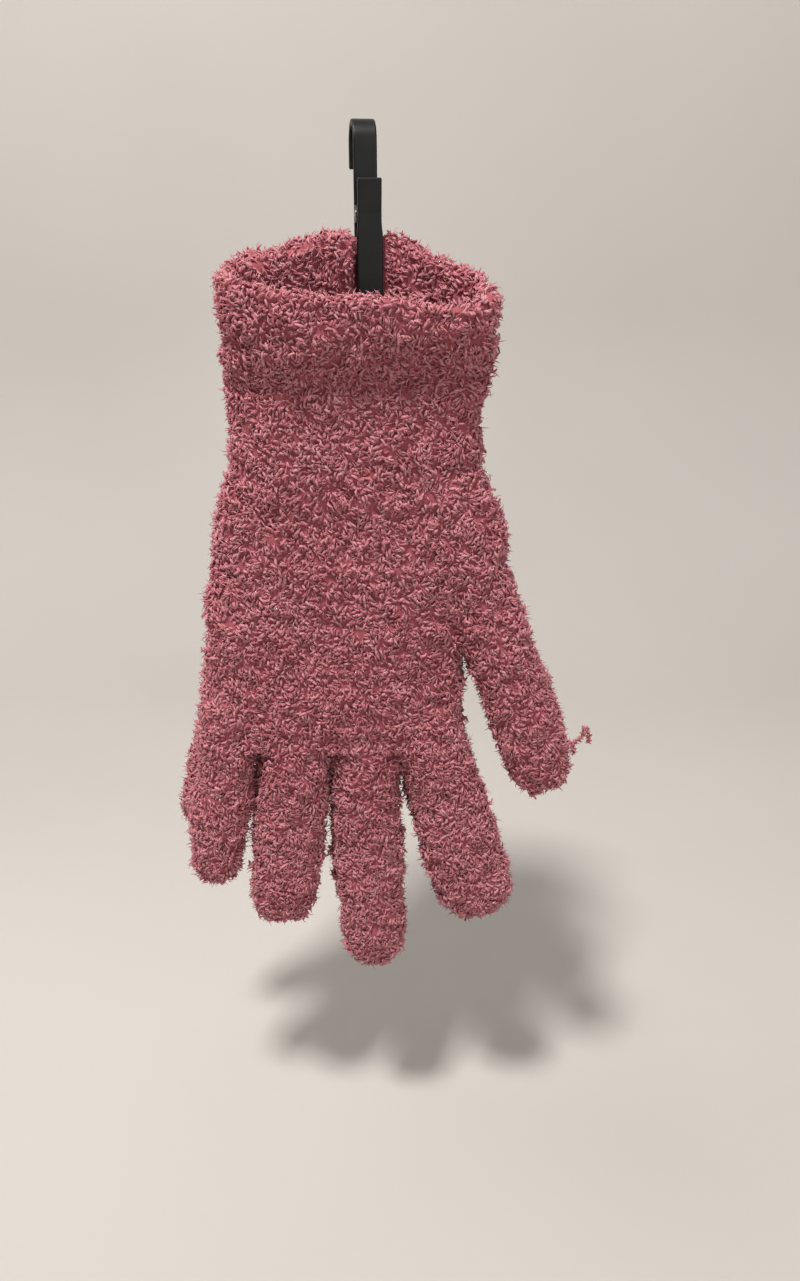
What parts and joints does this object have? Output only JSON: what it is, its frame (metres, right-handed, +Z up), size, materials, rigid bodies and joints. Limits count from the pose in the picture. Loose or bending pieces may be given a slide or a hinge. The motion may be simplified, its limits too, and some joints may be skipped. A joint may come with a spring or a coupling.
{
  "type": "pair of knitted gloves on a hanging clip",
  "caption": "Pair of fluffy chenille-knit gloves, back to back, hanging by their pinched cuffs from a small squeeze clip with a rail hook.",
  "frame": {"origin": "centre of the rail hook's arch, on the axis of the rail that it hangs from", "axes": "+Z up along the hanging gloves, +X to the side where both thumbs hang, -Y the way the front glove's palm faces"},
  "size_m": [0.1408, 0.0606, 0.2653],
  "materials": {
    "chenille_knit": "dusty pink chenille yarn, fluffy and matt",
    "elastic_thread": "yarn-covered elastic, matt",
    "clip_plastic": "black moulded polypropylene, low sheen",
    "spring_steel": "bright spring wire"
  },
  "bodies": {
    "clip": {"clip_strap": "clip_plastic", "clip_pivot_pin": "spring_steel", "clip_spring": "spring_steel"},
    "clip_lever": {"clip_lever": "clip_plastic"},
    "front_cuff": {"front_cuff": "chenille_knit", "front_cuff_rim": "chenille_knit", "front_cuff_elastic": "elastic_thread"},
    "front_hand": {"front_hand": "chenille_knit"},
    "front_little_finger": {"front_little_finger": "chenille_knit"},
    "front_ring_finger": {"front_ring_finger": "chenille_knit"},
    "front_middle_finger": {"front_middle_finger": "chenille_knit"},
    "front_index_finger": {"front_index_finger": "chenille_knit"},
    "front_thumb": {"front_thumb": "chenille_knit", "front_thumb_yarn_tail": "chenille_knit"},
    "back_cuff": {"back_cuff": "chenille_knit", "back_cuff_rim": "chenille_knit", "back_cuff_elastic": "elastic_thread"},
    "back_hand": {"back_hand": "chenille_knit"},
    "back_little_finger": {"back_little_finger": "chenille_knit"},
    "back_ring_finger": {"back_ring_finger": "chenille_knit"},
    "back_middle_finger": {"back_middle_finger": "chenille_knit"},
    "back_index_finger": {"back_index_finger": "chenille_knit"},
    "back_thumb": {"back_thumb": "chenille_knit"}
  },
  "joints": [
    {"name": "clip_squeeze", "type": "hinge", "parent": "clip", "child": "clip_lever", "pos_m": [0.00143, -0.00905, -0.0176], "axis": [-0.9877, -0.1564, 0], "range_deg": [0, 16], "stiffness_Nm_per_rad": 0.03, "springref_deg": -34.38, "deforming": ["clip_spring"]},
    {"name": "front_pull_off", "type": "slide", "parent": "clip", "child": "front_cuff", "axis": [0, 0, -1], "range_m": [0, 0.07]},
    {"name": "front_wrist_fold", "type": "hinge", "parent": "front_cuff", "child": "front_hand", "pos_m": [0, -0.03133, -0.082], "axis": [-1, 0, 0], "range_deg": [0, 60], "stiffness_Nm_per_rad": 0.03, "springref_deg": -8.02},
    {"name": "front_little_finger_bend", "type": "hinge", "parent": "front_hand", "child": "front_little_finger", "pos_m": [-0.04475, -0.03033, -0.1739], "axis": [-0.9877, 0, 0.1564], "range_deg": [0, 90], "stiffness_Nm_per_rad": 0.002, "springref_deg": -14.32},
    {"name": "front_ring_finger_bend", "type": "hinge", "parent": "front_hand", "child": "front_ring_finger", "pos_m": [-0.02343, -0.03033, -0.1786], "axis": [-0.9936, 0, 0.1132], "range_deg": [0, 90], "stiffness_Nm_per_rad": 0.002, "springref_deg": -14.32},
    {"name": "front_middle_finger_bend", "type": "hinge", "parent": "front_hand", "child": "front_middle_finger", "pos_m": [-0.0007, -0.03033, -0.181], "axis": [-0.9998, 0, -0.0175], "range_deg": [0, 90], "stiffness_Nm_per_rad": 0.002, "springref_deg": -14.32},
    {"name": "front_index_finger_bend", "type": "hinge", "parent": "front_hand", "child": "front_index_finger", "pos_m": [0.02245, -0.03033, -0.1782], "axis": [-0.9681, 0, -0.2504], "range_deg": [0, 90], "stiffness_Nm_per_rad": 0.002, "springref_deg": -14.32},
    {"name": "front_thumb_bend", "type": "hinge", "parent": "front_hand", "child": "front_thumb", "pos_m": [0.0403, -0.03033, -0.1392], "axis": [-0.9483, 0, -0.3173], "range_deg": [0, 70], "stiffness_Nm_per_rad": 0.002, "springref_deg": -14.32},
    {"name": "back_pull_off", "type": "slide", "parent": "clip", "child": "back_cuff", "axis": [0, 0, -1], "range_m": [0, 0.07]},
    {"name": "back_wrist_fold", "type": "hinge", "parent": "back_cuff", "child": "back_hand", "pos_m": [-0.00122, 0.01327, -0.08099], "axis": [0.9998, 0, -0.0209], "range_deg": [0, 60], "stiffness_Nm_per_rad": 0.03, "springref_deg": -8.02},
    {"name": "back_little_finger_bend", "type": "hinge", "parent": "back_hand", "child": "back_little_finger", "pos_m": [-0.04789, 0.01227, -0.17193], "axis": [0.95, 0, -0.3123], "range_deg": [0, 90], "stiffness_Nm_per_rad": 0.002, "springref_deg": -14.32},
    {"name": "back_ring_finger_bend", "type": "hinge", "parent": "back_hand", "child": "back_ring_finger", "pos_m": [-0.02667, 0.01227, -0.17708], "axis": [0.991, 0, -0.134], "range_deg": [0, 90], "stiffness_Nm_per_rad": 0.002, "springref_deg": -14.32},
    {"name": "back_middle_finger_bend", "type": "hinge", "parent": "back_hand", "child": "back_middle_finger", "pos_m": [-0.004, 0.01227, -0.17995], "axis": [1, 0, -0.0035], "range_deg": [0, 90], "stiffness_Nm_per_rad": 0.002, "springref_deg": -14.32},
    {"name": "back_index_finger_bend", "type": "hinge", "parent": "back_hand", "child": "back_index_finger", "pos_m": [0.01921, 0.01227, -0.17764], "axis": [0.9732, 0, 0.23], "range_deg": [0, 90], "stiffness_Nm_per_rad": 0.002, "springref_deg": -14.32},
    {"name": "back_thumb_bend", "type": "hinge", "parent": "back_hand", "child": "back_thumb", "pos_m": [0.03787, 0.01227, -0.13902], "axis": [0.9285, 0, 0.3714], "range_deg": [0, 70], "stiffness_Nm_per_rad": 0.002, "springref_deg": -14.32}
  ]
}
